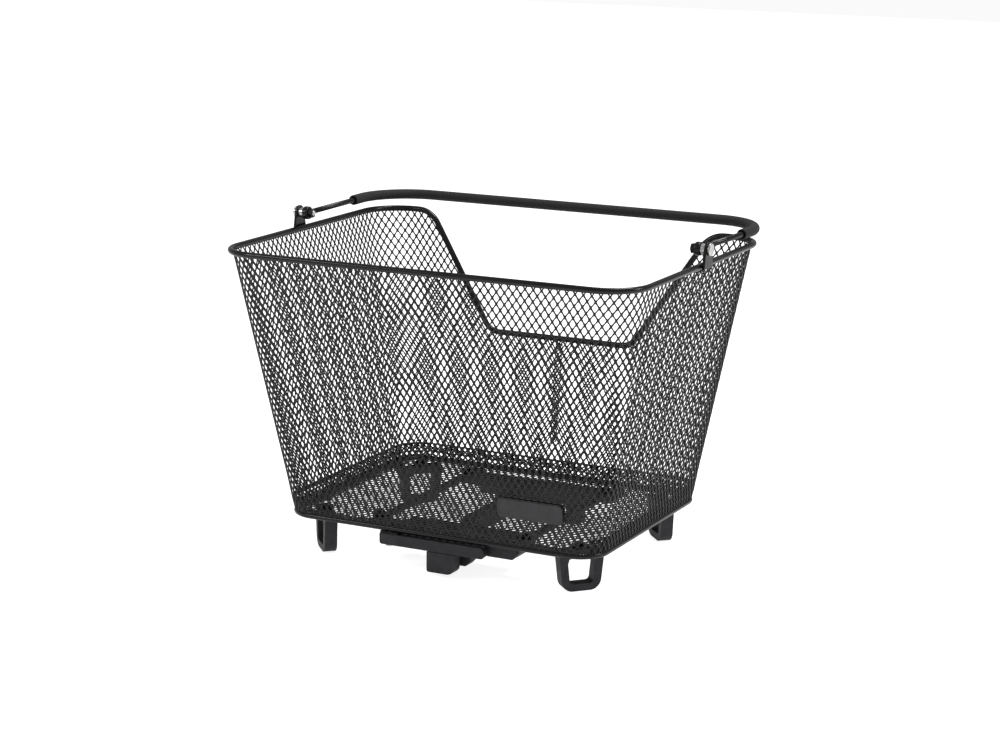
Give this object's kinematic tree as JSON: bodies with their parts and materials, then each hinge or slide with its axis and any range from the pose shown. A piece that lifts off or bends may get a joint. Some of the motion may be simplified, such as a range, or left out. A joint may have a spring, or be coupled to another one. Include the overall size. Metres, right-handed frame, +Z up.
{
  "type": "wire carrier basket",
  "caption": "Tapered wire mesh basket with a dipped rear rim, a fold-over carry handle, a latching carrier adapter underneath and moulded feet.",
  "frame": {"origin": "middle of the adapter's underside, where it sits on the carrier", "axes": "+X along the long side, towards the badge; +Y towards the side with the dip in the rim; +Z up"},
  "size_m": [0.4162, 0.3163, 0.2984],
  "materials": {
    "black_powder_coat": "semi-gloss black powder coat on steel wire",
    "black_mesh": "satin black coated expanded metal",
    "grip_sleeve": "matt dark grey foam rubber sleeve",
    "moulded_plastic": "matt dark grey glass-filled nylon",
    "zinc": "bright zinc plate",
    "spring_steel": "drawn spring wire",
    "badge": "plain dark grey plate, no lettering"
  },
  "bodies": {
    "tub": {"badge_backplate": "badge", "badge_plate": "badge", "bottom_ring": "black_powder_coat", "ear_left": "black_powder_coat", "ear_right": "black_powder_coat", "far_bracket": "moulded_plastic", "far_claw_left": "moulded_plastic", "far_claw_right": "moulded_plastic", "far_wall_mesh": "black_mesh", "floor_mesh": "black_mesh", "foot_far_left": "moulded_plastic", "foot_far_right": "moulded_plastic", "foot_near_left": "moulded_plastic", "foot_near_right": "moulded_plastic", "foot_screw_far_left": "black_powder_coat", "foot_screw_far_right": "black_powder_coat", "foot_screw_near_left": "black_powder_coat", "foot_screw_near_right": "black_powder_coat", "foot_washer_far_left": "black_powder_coat", "foot_washer_far_right": "black_powder_coat", "foot_washer_near_left": "black_powder_coat", "foot_washer_near_right": "black_powder_coat", "left_wall_mesh": "black_mesh", "lever_pin": "zinc", "near_bracket": "moulded_plastic", "near_claw": "moulded_plastic", "near_wall_mesh": "black_mesh", "pivot_nut_left": "zinc", "pivot_nut_right": "zinc", "pivot_screw_left": "zinc", "pivot_screw_right": "zinc", "pivot_spacer_left": "zinc", "pivot_spacer_right": "zinc", "rail_centre": "moulded_plastic", "rail_left": "moulded_plastic", "rail_right": "moulded_plastic", "rail_screw_far_left": "black_powder_coat", "rail_screw_far_right": "black_powder_coat", "rail_screw_near_left": "black_powder_coat", "rail_screw_near_right": "black_powder_coat", "rail_washer_far_left": "black_powder_coat", "rail_washer_far_right": "black_powder_coat", "rail_washer_near_left": "black_powder_coat", "rail_washer_near_right": "black_powder_coat", "return_spring": "spring_steel", "right_wall_mesh": "black_mesh", "seam_strip": "black_mesh", "top_rim": "black_powder_coat"},
    "handle": {"handle_rod": "black_powder_coat", "grip_sleeve": "grip_sleeve"},
    "lever": {"release_lever": "moulded_plastic"},
    "latch": {"latch_hook": "moulded_plastic"}
  },
  "joints": [
    {"name": "handle_swing", "type": "hinge", "parent": "tub", "child": "handle", "pos_m": [0, 0, 0.2688], "axis": [1, 0, 0], "range_deg": [0, 180]},
    {"name": "lever_swing", "type": "hinge", "parent": "tub", "child": "lever", "pos_m": [-0.046, -0.1117, 0.005], "axis": [0, 0, -1], "range_deg": [0, 11], "stiffness_Nm_per_rad": 2, "springref_deg": -11.46},
    {"name": "latch_slide", "type": "slide", "parent": "tub", "child": "latch", "axis": [0, -1, 0], "range_m": [0, 0.0105], "deforming": ["return_spring"]}
  ],
  "couplings": [
    {"joint": "latch_slide", "follows": "lever_swing", "m_per_rad": 0.0528}
  ]
}
